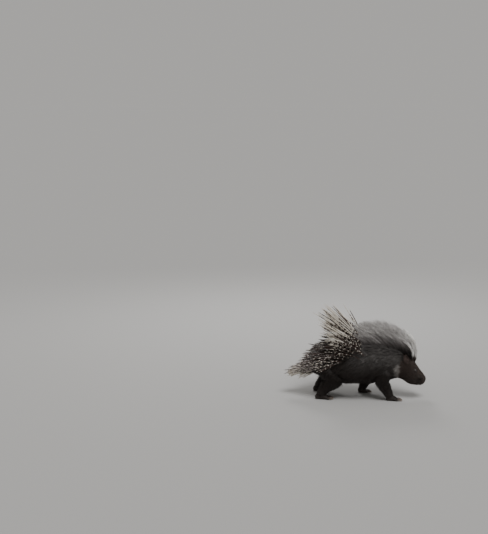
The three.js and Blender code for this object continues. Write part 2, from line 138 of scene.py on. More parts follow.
def surface(rows, u, angle, power=2.0, grow=0.0):
    """Points of a limb's skin. The angle runs from the left side (0) over the top (90 degrees)."""
    middle, sizes, _, sideways, upward = sections(rows, u)
    across, high = np.cos(angle), np.sin(angle)
    reach = np.where(high > 0, sizes[:, 0], sizes[:, 1]) + grow
    aside = np.sign(across) * np.abs(across) ** (2 / power) * (sizes[:, 2] + grow)
    high = np.sign(high) * np.abs(high) ** (2 / power) * reach
    return middle + sideways * aside[:, None] + upward * high[:, None]


def slopes(rows, u, angle, power=2.0, back=0.0):
    """The ways round, along and out of a limb's skin, the way along starting back before u."""
    round_it = surface(rows, u, angle + NUDGE, power) - surface(rows, u, angle, power)
    along_it = surface(rows, u + NUDGE, angle, power) - surface(rows, u - back, angle, power)
    return round_it, along_it, unit(np.cross(round_it, along_it))


def loft(bm, rows, around, rings, caps, power=2.0, grow=0.0, dome_rings=4):
    """A limb's closed form: a globe whose rings are moved to the limb's sections."""
    total = rings + 2 * dome_rings
    made = bmesh.ops.create_uvsphere(bm, u_segments=around, v_segments=total, radius=1)
    ball = np.array([v.co for v in made["verts"]])
    ring = np.rint(np.arccos(np.clip(-ball[:, 2], -1, 1)) / math.pi * total)
    angle = np.arctan2(ball[:, 1], ball[:, 0])
    before = np.clip(dome_rings - ring, 0, None) / dome_rings
    after = np.clip(ring - dome_rings - rings, 0, None) / dome_rings
    dome = ((before + after) * math.pi / 2)[:, None]
    u = np.clip((ring - dome_rings) / rings, 0, 1)
    middle, _, forward, _, _ = sections(rows, u)
    push = np.where(before > 0, -(caps[0] + grow), caps[1] + grow)[:, None]
    points = surface(rows, u, angle, power, grow)
    points = middle + (points - middle) * np.cos(dome) + forward * push * np.sin(dome)
    for vert, point in zip(made["verts"], points):
        vert.co = point


def ovoid(bm, middle, halves, along, segments=24):
    """A stretched ball whose own z points along a direction."""
    turn = Vector(along).to_track_quat("Z", "Y").to_matrix().to_4x4()
    turn = Matrix.Translation(Vector(middle)) @ turn @ Matrix.Diagonal((*halves, 1))
    bmesh.ops.create_uvsphere(
        bm, u_segments=segments, v_segments=segments // 2, radius=1, matrix=turn
    )


def toe_places(name):
    """Where each toe of a foot ends and the way it points."""
    start, length, side, toes = FEET[name]
    for toe in range(toes):
        spread = toe / (toes - 1) - 0.5
        way = unit(np.array([1.0, spread * 0.4, 0.0]))
        tip = [start + length + 3 - 18 * spread**2, side + spread * 10.8 * (toes - 1), 7.0]
        yield np.array(tip) * MM + HOME, way


def new_object(name, data):
    made = bpy.data.objects.new(name, data)
    bpy.context.scene.collection.objects.link(made)
    return made


def smooth_mesh(name, bm):
    """A finished bmesh as a mesh with smooth shading."""
    mesh = bpy.data.meshes.new(name)
    bm.to_mesh(mesh)
    bm.free()
    mesh.polygons.foreach_set("use_smooth", np.ones(len(mesh.polygons), bool))
    return mesh


def new_piece(name, bm):
    return new_object(name, smooth_mesh(name, bm))


def round_off(bm, verts):
    bmesh.ops.smooth_vert(
        bm, verts=verts, factor=0.5, use_axis_x=True, use_axis_y=True, use_axis_z=True
    )


def smoothstep(low, high, value):
    t = np.clip((value - low) / (high - low), 0, 1)
    return t * t * (3 - 2 * t)


nose_middle, _, nose_forward, nose_side, nose_up = (way[0] for way in sections(TRUNK, 1.0))


def muzzle_point(ahead, high, aside):
    return nose_middle + (nose_forward * ahead + nose_up * high + nose_side * aside) * MM


flesh = bmesh.new()
loft(flesh, TRUNK, 72, 132, (26 * MM, 20 * MM), TRUNK_POWER, -SKIN_DEPTH)
loft(flesh, TAIL, 32, 24, (8 * MM, 10 * MM), 2.0, -SKIN_DEPTH / 2)
for name, rows in LEGS.items():
    loft(flesh, at_home(rows), 40, 30, (14 * MM, 12 * MM), 2.0, -SKIN_DEPTH)
    start, length, side, _ = FEET[name]
    sole = at_home([
        [start + 9, side, 13, 15, 16, 16],
        [start + length * 0.5, side, 12, 17, 15, 19],
        [start + length - 8, side, 8, 13, 11, 22],
    ])
    loft(flesh, sole, 32, 20, (9 * MM, 7 * MM), 2.4, -SKIN_DEPTH / 3)
    for tip, way in toe_places(name):
        ovoid(flesh, tip, (5.1 * MM, 5.6 * MM, 12 * MM), way)
for sign in (1, -1):
    whisker_pad = (17.5 * MM, 17 * MM, 22 * MM)
    ovoid(flesh, muzzle_point(-6, 1.5, 18.5 * sign), whisker_pad, nose_forward, 32)
bmesh.ops.recalc_face_normals(flesh, faces=flesh.faces)
skin = new_object("skin", smooth_mesh("flesh", flesh))
fuse = skin.modifiers.new("fuse", "REMESH")
fuse.mode = "VOXEL"
fuse.voxel_size = VOXEL
bpy.context.view_layer.update()
fused = skin.evaluated_get(bpy.context.evaluated_depsgraph_get())
hide = bmesh.new()
hide.from_mesh(fused.data)
skin.modifiers.remove(fuse)
for _ in range(4):
    round_off(hide, hide.verts)


def refine(bm, inside):
    """Halves the mesh where a test on face middles says so, and rounds it off."""
    middles = np.array([f.calc_center_median() for f in bm.faces])
    chosen = [f for f, yes in zip(bm.faces, inside(middles)) if yes]
    edges = list({edge for face in chosen for edge in face.edges})
    bmesh.ops.subdivide_edges(bm, edges=edges, cuts=1, use_grid_fill=True)
    middles = np.array([v.co for v in bm.verts])
    round_off(bm, [v for v, yes in zip(bm.verts, inside(middles)) if yes])


EYE_STATION = 8.45
EYE_TURN = math.radians(56)  # from the top of the head down its side


def eye_place(sign):
    """The middle of an eyeball and the way it looks, which is out of the head."""
    low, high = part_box("eye_left" if sign > 0 else "eye_right")
    angle = np.array([math.pi / 2 - sign * EYE_TURN])
    out = slopes(TRUNK, np.array([EYE_STATION / SPANS]), angle, TRUNK_POWER)[2][0]
    return np.array((low + high) / 2), out


EYES = [eye_place(1), eye_place(-1)]
EYE_RADIUS = (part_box("eye_left")[1].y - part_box("eye_left")[0].y) / 2


HEAD_STARTS = 258 * MM
CHIN_HEIGHT = 50 * MM
MUZZLE_REACH = 40 * MM
EYE_REACH = 15 * MM


def near_head(points):
    return (points[:, 0] > HOME[0] + HEAD_STARTS) & (points[:, 2] > CHIN_HEIGHT)


def near_features(points):
    near = np.linalg.norm(points - muzzle_point(0, 0, 0), axis=1) < MUZZLE_REACH
    for middle, _ in EYES:
        near |= np.linalg.norm(points - middle, axis=1) < EYE_REACH
    return near


refine(hide, near_head)
refine(hide, near_features)
hide.normal_update()
points = np.array([v.co for v in hide.verts])
normals = np.array([v.normal for v in hide.verts])
# painted shade: how near black the hollows are painted, in the nostrils, the mouth's groove and the
# lid slits
deep = np.zeros(len(points))
bare = np.zeros(len(points))

# Mouth: a groove with a lip on each side, a cleft under the nose, and two slanting nostrils. The
# groove and the insides of the nostrils are painted near black, as painted shade in the hollows
away = (points - nose_middle) / MM
ahead, high, aside = away @ nose_forward, away @ nose_up, away @ nose_side
front = near_head(points) & (ahead > -60)
mouth = high + 15 + 0.0035 * (ahead + 14) ** 2
along_mouth = smoothstep(-52, -30, ahead) * front
groove = np.exp(-((mouth / 1.7) ** 2)) * along_mouth
lips = np.exp(-(((np.abs(mouth) - 5) / 3.2) ** 2)) * along_mouth
cleft = np.exp(-((aside / 1.3) ** 2)) * smoothstep(-17, -12, high) * smoothstep(9, 2, high)
cleft = cleft * smoothstep(4, 10, ahead) * front
push = -3.6 * groove + 1.5 * lips - 2.2 * cleft
for sign in (1, -1):
    slant = 0.5 * (high - 11)
    hole = ((aside * sign - 9.5 + slant) / 2.3) ** 2 + ((high - 11) / 4.6) ** 2
    hole = np.exp(-hole) * smoothstep(2, 9, ahead) * front
    rim = ((aside * sign - 10 + slant) / 5) ** 2 + ((high - 11.5) / 7.5) ** 2
    push += -5.5 * hole + 1.8 * np.exp(-rim) * smoothstep(2, 9, ahead) * front
    deep = np.maximum(deep, smoothstep(0.35, 0.8, hole))
deep = np.maximum(deep, smoothstep(0.4, 0.9, groove))
nose_pad = smoothstep(24, 15, np.hypot(aside, high - 9)) * smoothstep(6, 12, ahead) * front
bare = np.maximum(bare, np.maximum(nose_pad, 0.8 * lips * smoothstep(-30, 0, ahead)))
points += normals * (push * MM)[:, None]

# Lids: the skin domes over each eyeball and is slit along an almond, with a thick edge. The hide
# within the slit is painted near black, as painted shade between lid and eyeball
LID = 1.15 * MM
LID_SINK = 1.6 * MM  # how far the hide lies inside the ball within the slit
SLIT_LONG, SLIT_HIGH, SLIT_RAISED = (math.radians(angle) for angle in (58, 36, 4))
for middle, out in EYES:
    forward = unit(nose_forward - out * (out @ nose_forward))
    above = np.cross(out, forward)
    above = above * np.sign(above[2])
    away = points - middle
    flat_a, flat_b = away @ forward, away @ above
    radius = np.hypot(flat_a, flat_b)
    turn = np.clip(radius / (1.45 * EYE_RADIUS), 0, 1.25) * math.pi / 2
    aim = np.stack([flat_a, flat_b], 1) / np.maximum(radius, 1e-9)[:, None]
    across = aim[:, :1] * forward + aim[:, 1:] * above
    slit = np.hypot(turn * aim[:, 0] / SLIT_LONG, (turn * aim[:, 1] - SLIT_RAISED) / SLIT_HIGH)
    lid = LID * (1 + 0.5 * np.exp(-(((slit - 1.25) / 0.2) ** 2)))
    reach = EYE_RADIUS - LID_SINK + (lid + LID_SINK) * smoothstep(0.82, 1.08, slit)
    dome = across * (np.sin(turn) * reach)[:, None] + out * (np.cos(turn) * reach)[:, None]
    hold = smoothstep(1.75 * EYE_RADIUS, 1.05 * EYE_RADIUS, radius)
    hold = hold * (away @ out > -0.8 * EYE_RADIUS)
    hold = hold * (np.linalg.norm(away, axis=1) < 3 * EYE_RADIUS)
    points += (middle + dome - points) * hold[:, None]
    bare = np.maximum(bare, hold * smoothstep(1.5, 1.15, slit))
    deep = np.maximum(deep, hold * smoothstep(1.0, 0.8, slit))
points[:, 2] = np.maximum(points[:, 2], 0.0)
for vert, point in zip(hide.verts, points):
    vert.co = point
hide.normal_update()
skin_mesh = smooth_mesh("skin", hide)
flesh_mesh, skin.data = skin.data, skin_mesh
bpy.data.meshes.remove(flesh_mesh)


def mark(mesh, name, values):
    """A number at every vertex, which the finish reads by name."""
    marks = mesh.attributes.new(name, "FLOAT", "POINT")
    marks.data.foreach_set("value", np.asarray(values, np.float32))


def collar(points):
    """How white the hair is: the half collar that crosses the throat. Where it is used, its white
    is painted grey, as painted shade under the head.
    """
    away = (points - HOME) / MM
    line = away[:, 0] - 222 - 0.10 * (away[:, 2] - 120)
    band = np.exp(-((line / 11) ** 2))
    return band * smoothstep(222, 180, away[:, 2]) * (away[:, 2] > 50)


def grey(points):
    """How grey the hair is: olive grey on the nape and shoulders, black on the belly and legs. It
    grows with height, and its strength on top is painted light that fills the shade under the
    crest.
    """
    away = (points - HOME) / MM
    return smoothstep(150, 262, away[:, 2]) * smoothstep(-60, 60, away[:, 0])


mark(skin_mesh, "deep", deep)
mark(skin_mesh, "bare", bare)
mark(skin_mesh, "pale", collar(points))
mark(skin_mesh, "tone", grey(points))


class Socket:
    """A shader socket. Sums and products of sockets and numbers add their own Math nodes."""

    def __init__(self, tree, out):
        self.tree = tree
        self.out = out

    def math(self, operation, *values):
        return node(self.tree, "ShaderNodeMath", {"operation": operation}, dict(enumerate(values)))

    def __add__(self, other):
        return self.math("ADD", self, other)

    def __sub__(self, other):
        return self.math("SUBTRACT", self, other)

    def __rsub__(self, other):
        return self.math("SUBTRACT", other, self)

    def __mul__(self, other):
        return self.math("MULTIPLY", self, other)

    def __truediv__(self, other):
        return self.math("DIVIDE", self, other)

    __radd__ = __add__
    __rmul__ = __mul__

    def step(self, low, high):
        """From 0 at low to 1 at high, smoothly."""
        settings = {"interpolation_type": "SMOOTHSTEP"}
        sockets = {"Value": self, "From Min": low, "From Max": high}
        return node(self.tree, "ShaderNodeMapRange", settings, sockets)

    def mix(self, first, second):
        """The first colour where this is 0, and the second where it is 1."""
        sockets = {"Factor": self, "A": first, "B": second}
        return node(self.tree, "ShaderNodeMix", {"data_type": "RGBA"}, sockets, "Result")


def node(tree, kind, settings, sockets, output=0):
    """A node with its settings made first, then the values or links of its sockets."""

    def pick(row, key):
        row = [s for s in row if s.enabled]
        return row[key] if isinstance(key, int) else next(s for s in row if s.name == key)

    made = tree.nodes.new(kind)
    for key, value in settings.items():
        setattr(made, key, value)
    for key, value in sockets.items():
        socket = pick(made.inputs, key)
        if isinstance(value, Socket):
            tree.links.new(value.out, socket)
        else:
            socket.default_value = value
    return Socket(tree, pick(made.outputs, output))


def new_finish(name):
    """An empty material's tree, and a method that makes nodes in it."""
    material = bpy.data.materials.new(name)
    material.use_nodes = True
    tree = material.node_tree
    tree.nodes.clear()

    def make(kind, settings=None, sockets=None, output=0):
        return node(tree, kind, settings or {}, sockets or {}, output)

    return material, make


def close(make, **sockets):
    """The surface of a material, from the values of its shader's sockets."""
    sockets = {key.replace("_", " "): value for key, value in sockets.items()}
    shader = make("ShaderNodeBsdfPrincipled", {}, sockets)
    end = shader.tree.nodes.new("ShaderNodeOutputMaterial")
    shader.tree.links.new(shader.out, end.inputs["Surface"])


def attributes(make, *names):
    """The numbers marked on the mesh, by name."""
    return [make("ShaderNodeAttribute", {"attribute_name": name}, {}, "Fac") for name in names]


def grain(make, scale, detail=3.0, roughness=0.55):
    """Soft random relief or colour change, by the place on the model."""
    where = make("ShaderNodeTexCoord", {}, {}, "Object")
    sockets = {"Vector": where, "Scale": scale, "Detail": detail, "Roughness": roughness}
    return make("ShaderNodeTexNoise", {}, sockets, "Fac")


def relief(make, height, strength, distance):
    sockets = {"Strength": strength, "Distance": distance, "Height": height}
    return make("ShaderNodeBump", {}, sockets, "Normal")


def colour(r, g, b):
    return (r, g, b, 1.0)


skin_finish, make = new_finish("hide")
hollow_shade_mark, bare_mark, pale_mark, tone_mark = attributes(make, "deep", "bare", "pale", "tone")
base = grain(make, 60).mix(colour(0.016, 0.011, 0.009), colour(0.030, 0.022, 0.018))
# partly painted light: the olive grey of the upper coat, made stronger on top to fill the shade
# under the crest
base = tone_mark.mix(base, colour(0.052, 0.047, 0.043))
base = bare_mark.mix(base, colour(0.027, 0.020, 0.019))
# painted shade: the white collar's skin is painted grey, as it lies in shade under the head
base = pale_mark.mix(base, colour(0.42, 0.39, 0.36))
# painted shade: the hollows near black, where shade falls in the nostrils, the mouth's groove and
# the lid slits
base = hollow_shade_mark.mix(base, colour(0.006, 0.004, 0.004))
creases = grain(make, 420, 4.0) * 0.6 + grain(make, 1400, 2.0) * 0.4
close(
    make, Base_Color=base, Roughness=0.62 - bare_mark * 0.2, Specular_IOR_Level=0.4,
    Normal=relief(make, creases, 0.55, 0.0008),
)
skin_mesh.materials.append(skin_finish)
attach(skin, "root")
fleshy = ["head", "neck", "torso", "tail"]
fleshy += [
    f"{pair}_{part}_{hand}"
    for pair in ("fore", "hind") for part in ("leg", "foot") for hand in ("left", "right")
]
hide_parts(*fleshy)
# flat places need fewer faces than the fused grid gives
thin = skin.modifiers.new("thin", "DECIMATE")
thin.ratio = 0.94


# Ears: a thin rounded cup each, half hidden by the hair behind the cheek. A globe is pressed in
# from its mouth side, which leaves a rolled rim and a fold inside, and its root sinks in the head.
EAR_STATION = 7.1
EAR_TURN = math.radians(58)


def make_ear(bm, sign):
    angle = np.array([math.pi / 2 - sign * EAR_TURN])
    seat = surface(TRUNK, EAR_STATION / SPANS, angle, TRUNK_POWER)[0]
    facing = unit(np.array([0.5, 0.82 * sign, 0.22]))
    middle = seat + np.array([-5, 6 * sign, 12]) * MM
    tall = unit(Z - facing * facing[2])
    backward = np.cross(tall, facing) * sign
    made = bmesh.ops.create_uvsphere(bm, u_segments=56, v_segments=40, radius=1)["verts"]
    ball = np.array([v.co for v in made])
    # the poles are turned to the ear's upper and lower ends
    x, y, z = ball[:, 0], ball[:, 2], ball[:, 1]
    radius = np.minimum(np.hypot(x, y), 1)
    back = -np.sqrt(np.maximum(1 - radius**2, 0))
    rim = 0.42 * np.exp(-(((radius - 0.88) / 0.1) ** 2))
    rim = rim * (0.55 + 0.45 * smoothstep(-0.9, 0.1, x + 0.6 * y))
    fold = 0.3 * np.exp(-(((np.hypot(x - 0.3, y + 0.1) - 0.55) / 0.1) ** 2))
    fold = fold * smoothstep(-0.3, 0.3, x)
    tragus = 0.5 * np.exp(-(((x + 0.72) / 0.2) ** 2 + ((y + 0.3) / 0.22) ** 2))
    cup = 0.76 * back + rim + fold + tragus
    z = np.where(z > 0, cup, back)
    narrow = 1 - 0.26 * smoothstep(0.1, -1, y)
    narrow = narrow - 0.14 * smoothstep(0.1, -0.9, x) * smoothstep(-0.9, 0.3, y)
    spots = middle + backward * (x * 16 * narrow * MM)[:, None] + tall * (y * 22 * MM)[:, None]
    spots = spots + facing * (z * 9.5 * MM)[:, None]
    for vert, spot in zip(made, spots):
        vert.co = spot


ears_bm = bmesh.new()
for sign in (1, -1):
    make_ear(ears_bm, sign)
round_off(ears_bm, ears_bm.verts)
bmesh.ops.recalc_face_normals(ears_bm, faces=ears_bm.faces)
ears = new_piece("ears", ears_bm)
ear_finish, make = new_finish("ear_skin")
base = grain(make, 90).mix(colour(0.045, 0.030, 0.026), colour(0.085, 0.056, 0.048))
bump = relief(make, grain(make, 900), 0.5, 0.0005)
close(make, Base_Color=base, Roughness=0.58, Normal=bump, Specular_IOR_Level=0.4)
ears.data.materials.append(ear_finish)
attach(ears, "root")
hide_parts("ear_left", "ear_right")


# Eyes: small wet balls, almost black, with a dark brown iris that shows only close to. Each is a
# fine globe with a low cornea, and looks out of the head.
def make_eye(name, middle, out):
    bm = bmesh.new()
    bmesh.ops.create_uvsphere(bm, u_segments=48, v_segments=32, radius=EYE_RADIUS)
    for vert in bm.verts:
        facing = vert.co.normalized().z
        vert.co *= 1 + 0.05 * float(smoothstep(0.72, 0.9, facing))
    turn = Vector(out).to_track_quat("Z", "Y").to_matrix().to_4x4()
    bmesh.ops.transform(bm, matrix=Matrix.Translation(Vector(middle)) @ turn, verts=bm.verts)
    eyeball = new_piece(name, bm)
    spots = np.array([v.co for v in eyeball.data.vertices])
    mark(eyeball.data, "look", unit(spots - middle) @ out)
    return eyeball


eye_finish, make = new_finish("wet_eye")
look, = attributes(make, "look")
iris = look.step(0.60, 0.68) * (1 - look.step(0.86, 0.90))
ball = (iris * grain(make, 900)).mix(colour(0.006, 0.004, 0.003), colour(0.075, 0.032, 0.014))
close(make, Base_Color=ball, Roughness=0.12, Coat_Weight=1.0, Coat_Roughness=0.03, IOR=1.38)
for (middle, out), hand in zip(EYES, ("left", "right")):
    eyeball = make_eye(f"eyeball_{hand}", middle, out)
    eyeball.data.materials.append(eye_finish)
    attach(eyeball, "root")
    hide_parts(f"eye_{hand}")


# Claws: blunt digging claws of dark horn, paler and worn at the tip, one on each toe. Each is a
# short curved form whose root sits in the toe.
CLAW = {"fore_right": 17, "fore_left": 15, "hind_right": 14, "hind_left": 14}
CLAW_ROOT = 6  # how much of each is in the toe
CLAW_DROP = 0.0125  # how fast it curves down
claws_bm = bmesh.new()
for name in FEET:
    for tip, way in toe_places(name):
        start = tip + way * 5 * MM + Z * 1.6 * MM
        rows = []
        for part, size in ((0, 1.0), (0.35, 0.95), (0.7, 0.66), (1, 0.22)):
            reach = part * (CLAW[name] + CLAW_ROOT) * MM
            spot = start + way * reach - Z * CLAW_DROP / MM * reach**2
            rows.append([*spot, 3.6 * size * MM, 2.5 * size * MM, 2.7 * size * MM])
        loft(claws_bm, np.array(rows), 16, 14, (1.5 * MM, 0.5 * MM), 2.2, 0.0, 2)
bmesh.ops.recalc_face_normals(claws_bm, faces=claws_bm.faces)
claws = new_piece("claws", claws_bm)
claw_finish, make = new_finish("claw_horn")
where = make("ShaderNodeTexCoord", {}, {}, "Object")
height = make("ShaderNodeSeparateXYZ", {}, {"Vector": where}, "Z")
base = height.step(0.011, 0.003).mix(colour(0.045, 0.028, 0.020), colour(0.20, 0.145, 0.10))
bump = relief(make, grain(make, 1500, 2.0, 0.5), 0.3, 0.0003)
close(make, Base_Color=base, Roughness=0.38, Normal=bump, Coat_Weight=0.25, Coat_Roughness=0.3)
claws.data.materials.append(claw_finish)
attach(claws, "root")


# Short face hair: stiff and close, a few millimetres on the nose and longer on the cheeks, and
# it lies back from the muzzle round the eyes. Each hair tuft is a thin closed spike on the skin.
def read(items, name, kind=float):
    """Three numbers for each item of a mesh."""
    values = np.empty(len(items) * 3, kind)
    items.foreach_get(name, values)
    return values.reshape(-1, 3)


skin_mesh.calc_loop_triangles()
corners = read(skin_mesh.loop_triangles, "vertices", int)
places_3d = read(skin_mesh.vertices, "co")
ways_out = read(skin_mesh.vertices, "normal")
side_a = places_3d[corners[:, 1]] - places_3d[corners[:, 0]]
side_b = places_3d[corners[:, 2]] - places_3d[corners[:, 0]]
areas = np.linalg.norm(np.cross(side_a, side_b), axis=1) / 2
no_hair = np.maximum(bare, deep)
EAR_CLEARANCE = 16 * MM
for low, high in (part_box("ear_left"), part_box("ear_right")):
    gap = np.linalg.norm(places_3d - np.array((low + high) / 2), axis=1)
    no_hair = np.maximum(no_hair, gap < EAR_CLEARANCE)

line_u = np.linspace(0, 1, 30 * SPANS + 1)
line = sections(TRUNK, line_u)
line_tree = kdtree.KDTree(len(line_u))
for i, spot in enumerate(line[0]):
    line_tree.insert(spot, i)
line_tree.balance()


def on_trunk(points):
    """For points: station, angle round the trunk, how far out they are, and the way forward."""
    i = np.array([line_tree.find(p)[1] for p in points])
    middle, sizes, forward, sideways, upward = (values[i] for values in line)
    away = points - middle
    aside = (away * sideways).sum(1) / sizes[:, 2]
    high = (away * upward).sum(1)
    high = high / np.where(high > 0, sizes[:, 0], sizes[:, 1])
    return line_u[i] * SPANS, np.arctan2(high, aside), np.hypot(aside, high), forward


face_middles = places_3d[corners].mean(1)
stations, angles, outness, _ = on_trunk(face_middles)
from_top = np.abs((angles - math.pi / 2 + math.pi) % (2 * math.pi) - math.pi)
# which part of the body each face of the hide is on
at_x, at_y, at_z = ((face_middles - HOME) / MM).T
is_head = (stations > 6.7) & (at_z > 58) & (at_x > 225)
is_foot = (at_z < 32) & ~is_head
is_tail = (at_x < -212) & (outness > 0.9) & (at_z > 100) & (np.abs(at_y) < 35)
is_leg = ((outness > 1.04) | (at_z < 80)) & (np.abs(at_y) > 28) & ~is_head & ~is_foot & ~is_tail
is_trunk = ~(is_head | is_foot | is_leg | is_tail)


def scatter(rng, amount, weight):
    """Roots on the skin: their places, the ways out, and the trunk's station, angle and way."""
    share = np.cumsum(areas * weight)
    picked = np.searchsorted(share, rng.random(amount) * share[-1])
    a, b = rng.random(amount), rng.random(amount)
    flip = a + b > 1
    a, b = np.where(flip, 1 - a, a), np.where(flip, 1 - b, b)
    mix = np.stack([1 - a - b, a, b], 1)[:, :, None]
    at = corners[picked]
    spots = (places_3d[at] * mix).sum(1)
    out = unit((ways_out[at] * mix).sum(1))
    covered = (no_hair[at] * mix[:, :, 0]).sum(1) < 0.5
    spots, out = spots[covered], out[covered]
    station, angle, _, forward = on_trunk(spots)
    return {"spot": spots, "out": out, "station": station, "angle": angle, "forward": forward}


def spaced(roots, distance):
    """Only roots that keep a distance to one another, so that they spread evenly."""
    cells = {}
    kept = []
    for i, spot in enumerate(roots["spot"]):
        key = tuple((spot // distance).astype(int))
        close_by = [
            other
            for dx in (-1, 0, 1) for dy in (-1, 0, 1) for dz in (-1, 0, 1)
            for other in cells.get((key[0] + dx, key[1] + dy, key[2] + dz), [])
        ]
        if all(np.sum((spot - roots["spot"][j]) ** 2) > distance**2 for j in close_by):
            cells.setdefault(key, []).append(i)
            kept.append(i)
    return {name: values[kept] for name, values in roots.items()}


def along_skin(way, out):
    """A direction laid flat on the skin."""
    return unit(way - out * (way * out).sum(1, keepdims=True))


def patches(roots):
    """A root's place on the trunk's own unwrap: along it and round it."""
    return np.stack([roots["station"] / SPANS, (roots["angle"] / (2 * math.pi)) % 1.0], 1)


PATCH = 0.003  # how much of the unwrap one tuft takes
MARKS = ("chance", "pale", "tone", "tip", "band", "white", "start")
LOWEST = 0.4 * MM  # no strand goes nearer the floor than this


def strands(
    name, roots, lie, shape, profile, sides=3, sink=1.5 * MM, clump=0, pull=0.0, patch=None
):
    """Bent, tapering, closed strands from their roots, joined in one mesh.

    lie is the way each strand lies. shape gives raise, turn, length, width and, where needed,
    flat, roll and sway, for each strand. profile has rows of place, width and thickness, from root
    to tip. Every clump-th strand leads a clump, and the others bend towards it by pull.
    """
    amount = len(lie)
    out, spot = roots["out"], roots["spot"]
    full = {
        key: np.broadcast_to(np.asarray(value, float), (amount,)) for key, value in shape.items()
    }
    lift = full["raise"][:, None]
    start = lie * np.cos(lift) + out * np.sin(lift)
    bend = lie * np.sin(lift) - out * np.cos(lift)
    across = np.cross(start, bend)
    whole = full["length"] + sink
    turn = np.maximum(full["turn"], 1e-3)
    curl = turn / whole
    profile = np.array(profile, float)
    place = profile[:, 0]
    bent = turn[:, None] * place
    way = (np.sin(bent) / curl[:, None] - sink)[:, :, None]
    drop = ((1 - np.cos(bent)) / curl[:, None])[:, :, None]
    middle = spot[:, None] + start[:, None] * way + bend[:, None] * drop
    sway = full.get("sway", np.zeros(amount))
    middle = middle + across[:, None] * (sway * whole)[:, None, None] * (place**2)[None, :, None]
    if clump:
        leaders = np.arange(0, amount, clump)
        tree = kdtree.KDTree(len(leaders))
        for i in leaders:
            tree.insert(spot[i], i)
        tree.balance()
        lead = np.array([tree.find(p)[1] for p in spot])
        pull = (pull * np.clip(place, 0, 1) ** 1.4)[None, :, None]
        middle = middle + (middle[lead] - middle) * pull
    inner = -start[:, None] * np.sin(bent)[:, :, None] + bend[:, None] * np.cos(bent)[:, :, None]
    beside = np.broadcast_to(across[:, None], inner.shape)
    roll = full.get("roll", np.full(amount, math.pi / 2))[:, None, None]
    wide = inner * np.cos(roll) + beside * np.sin(roll)
    thin = beside * np.cos(roll) - inner * np.sin(roll)
    pointed = profile[-1, 1] == 0
    rings = len(profile) - (1 if pointed else 0)
    angle = np.arange(sides) / sides * 2 * math.pi
    half = full["width"][:, None, None] / 2
    flat = full.get("flat", np.ones(amount))[:, None, None]
    reach_w = half * profile[None, :rings, 1, None] * np.cos(angle)
    reach_t = half * flat * profile[None, :rings, 2, None] * np.sin(angle)
    ring = middle[:, :rings, None] + wide[:, :rings, None] * reach_w[..., None]
    ring = ring + thin[:, :rings, None] * reach_t[..., None]
    verts = ring.reshape(amount, rings * sides, 3)
    along = np.repeat(place[:rings], sides)
    local = np.stack([np.tile(np.arange(sides) / sides - 0.5, rings), along - 0.5], 1)
    if pointed:
        verts = np.concatenate([verts, middle[:, -1:]], 1)
        along = np.append(along, place[-1])
        local = np.vstack([local, [0, 0.5]])
    faces = [list(range(sides))[::-1]]
    for r in range(rings - 1):
        for s in range(sides):
            t = (s + 1) % sides
            faces.append([r * sides + s, r * sides + t, (r + 1) * sides + t, (r + 1) * sides + s])
    last = (rings - 1) * sides
    if pointed:
        faces += [[last + s, last + (s + 1) % sides, rings * sides] for s in range(sides)]
    else:
        faces.append([last + s for s in range(sides)])
    count = verts.shape[1]
    flat_faces = np.concatenate(faces)
    starts = np.cumsum([0] + [len(f) for f in faces[:-1]])
    loops = (flat_faces[None] + (np.arange(amount) * count)[:, None]).ravel()
    verts[:, :, 2] = np.maximum(verts[:, :, 2], LOWEST)
    mesh = bpy.data.meshes.new(name)
    mesh.vertices.add(amount * count)
    mesh.vertices.foreach_set("co", verts.astype(np.float32).ravel())
    mesh.loops.add(len(loops))
    mesh.loops.foreach_set("vertex_index", loops.astype(np.int32))
    mesh.polygons.add(amount * len(faces))
    poly = (starts[None] + (np.arange(amount) * len(flat_faces))[:, None]).ravel()
    mesh.polygons.foreach_set("loop_start", poly.astype(np.int32))
    mesh.update(calc_edges=True)
    mesh.validate()
    mesh.polygons.foreach_set("use_smooth", np.ones(len(mesh.polygons), bool))
    corner = (patches(roots) if patch is None else patch)[:, None] + (local * PATCH)[None]
    uv = mesh.uv_layers.new(name="OFBake")
    uv.data.foreach_set("uv", corner.reshape(-1, 2)[loops].astype(np.float32).ravel())
    mark(mesh, "along", np.tile(along, amount))
    mark(mesh, "from_tip", ((1 - along)[None] * full["length"][:, None]).ravel())
    for key in MARKS:
        if key in roots:
            mark(mesh, key, np.repeat(roots[key], count))
    piece = new_object(name, mesh)
    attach(piece, "root")
    return piece


HAIR = [(0, 1, 1), (0.45, 0.9, 0.9), (1, 0, 0)]
BRISTLE = [(0, 0.7, 0.8), (0.3, 1, 1), (0.65, 0.8, 0.8), (1, 0, 0)]

rng = np.random.default_rng(101)
muzzle_share = smoothstep(6.8, 10.5, stations)
roots = scatter(rng, 15500, is_head * (1 + 1.3 * muzzle_share))
amount = len(roots["spot"])
roots["chance"] = rng.random(amount)
roots["pale"] = collar(roots["spot"])
lie = -roots["forward"] - 0.25 * Z
eye_gap = np.full(amount, 1.0)
for middle, out in EYES:
    gap = np.linalg.norm(roots["spot"] - middle, axis=1)
    eye_gap = np.minimum(eye_gap, gap)
    # the hair parts round the eye
    aside = along_skin(roots["spot"] - middle, roots["out"])
    lie = lie + aside * (0.9 * smoothstep(24 * MM, 10 * MM, gap))[:, None]
lie = along_skin(lie + rng.normal(0, 0.13, (amount, 3)), roots["out"])
FACE_LENGTHS = ([6.8, 7.6, 8.6, 9.8, 10.6, 11], [24, 18, 12, 8.5, 6, 4.5])
length = np.interp(roots["station"], *FACE_LENGTHS) * MM
length = length * (0.4 + 0.6 * smoothstep(9 * MM, 22 * MM, eye_gap))
length = length * rng.uniform(0.75, 1.2, amount)
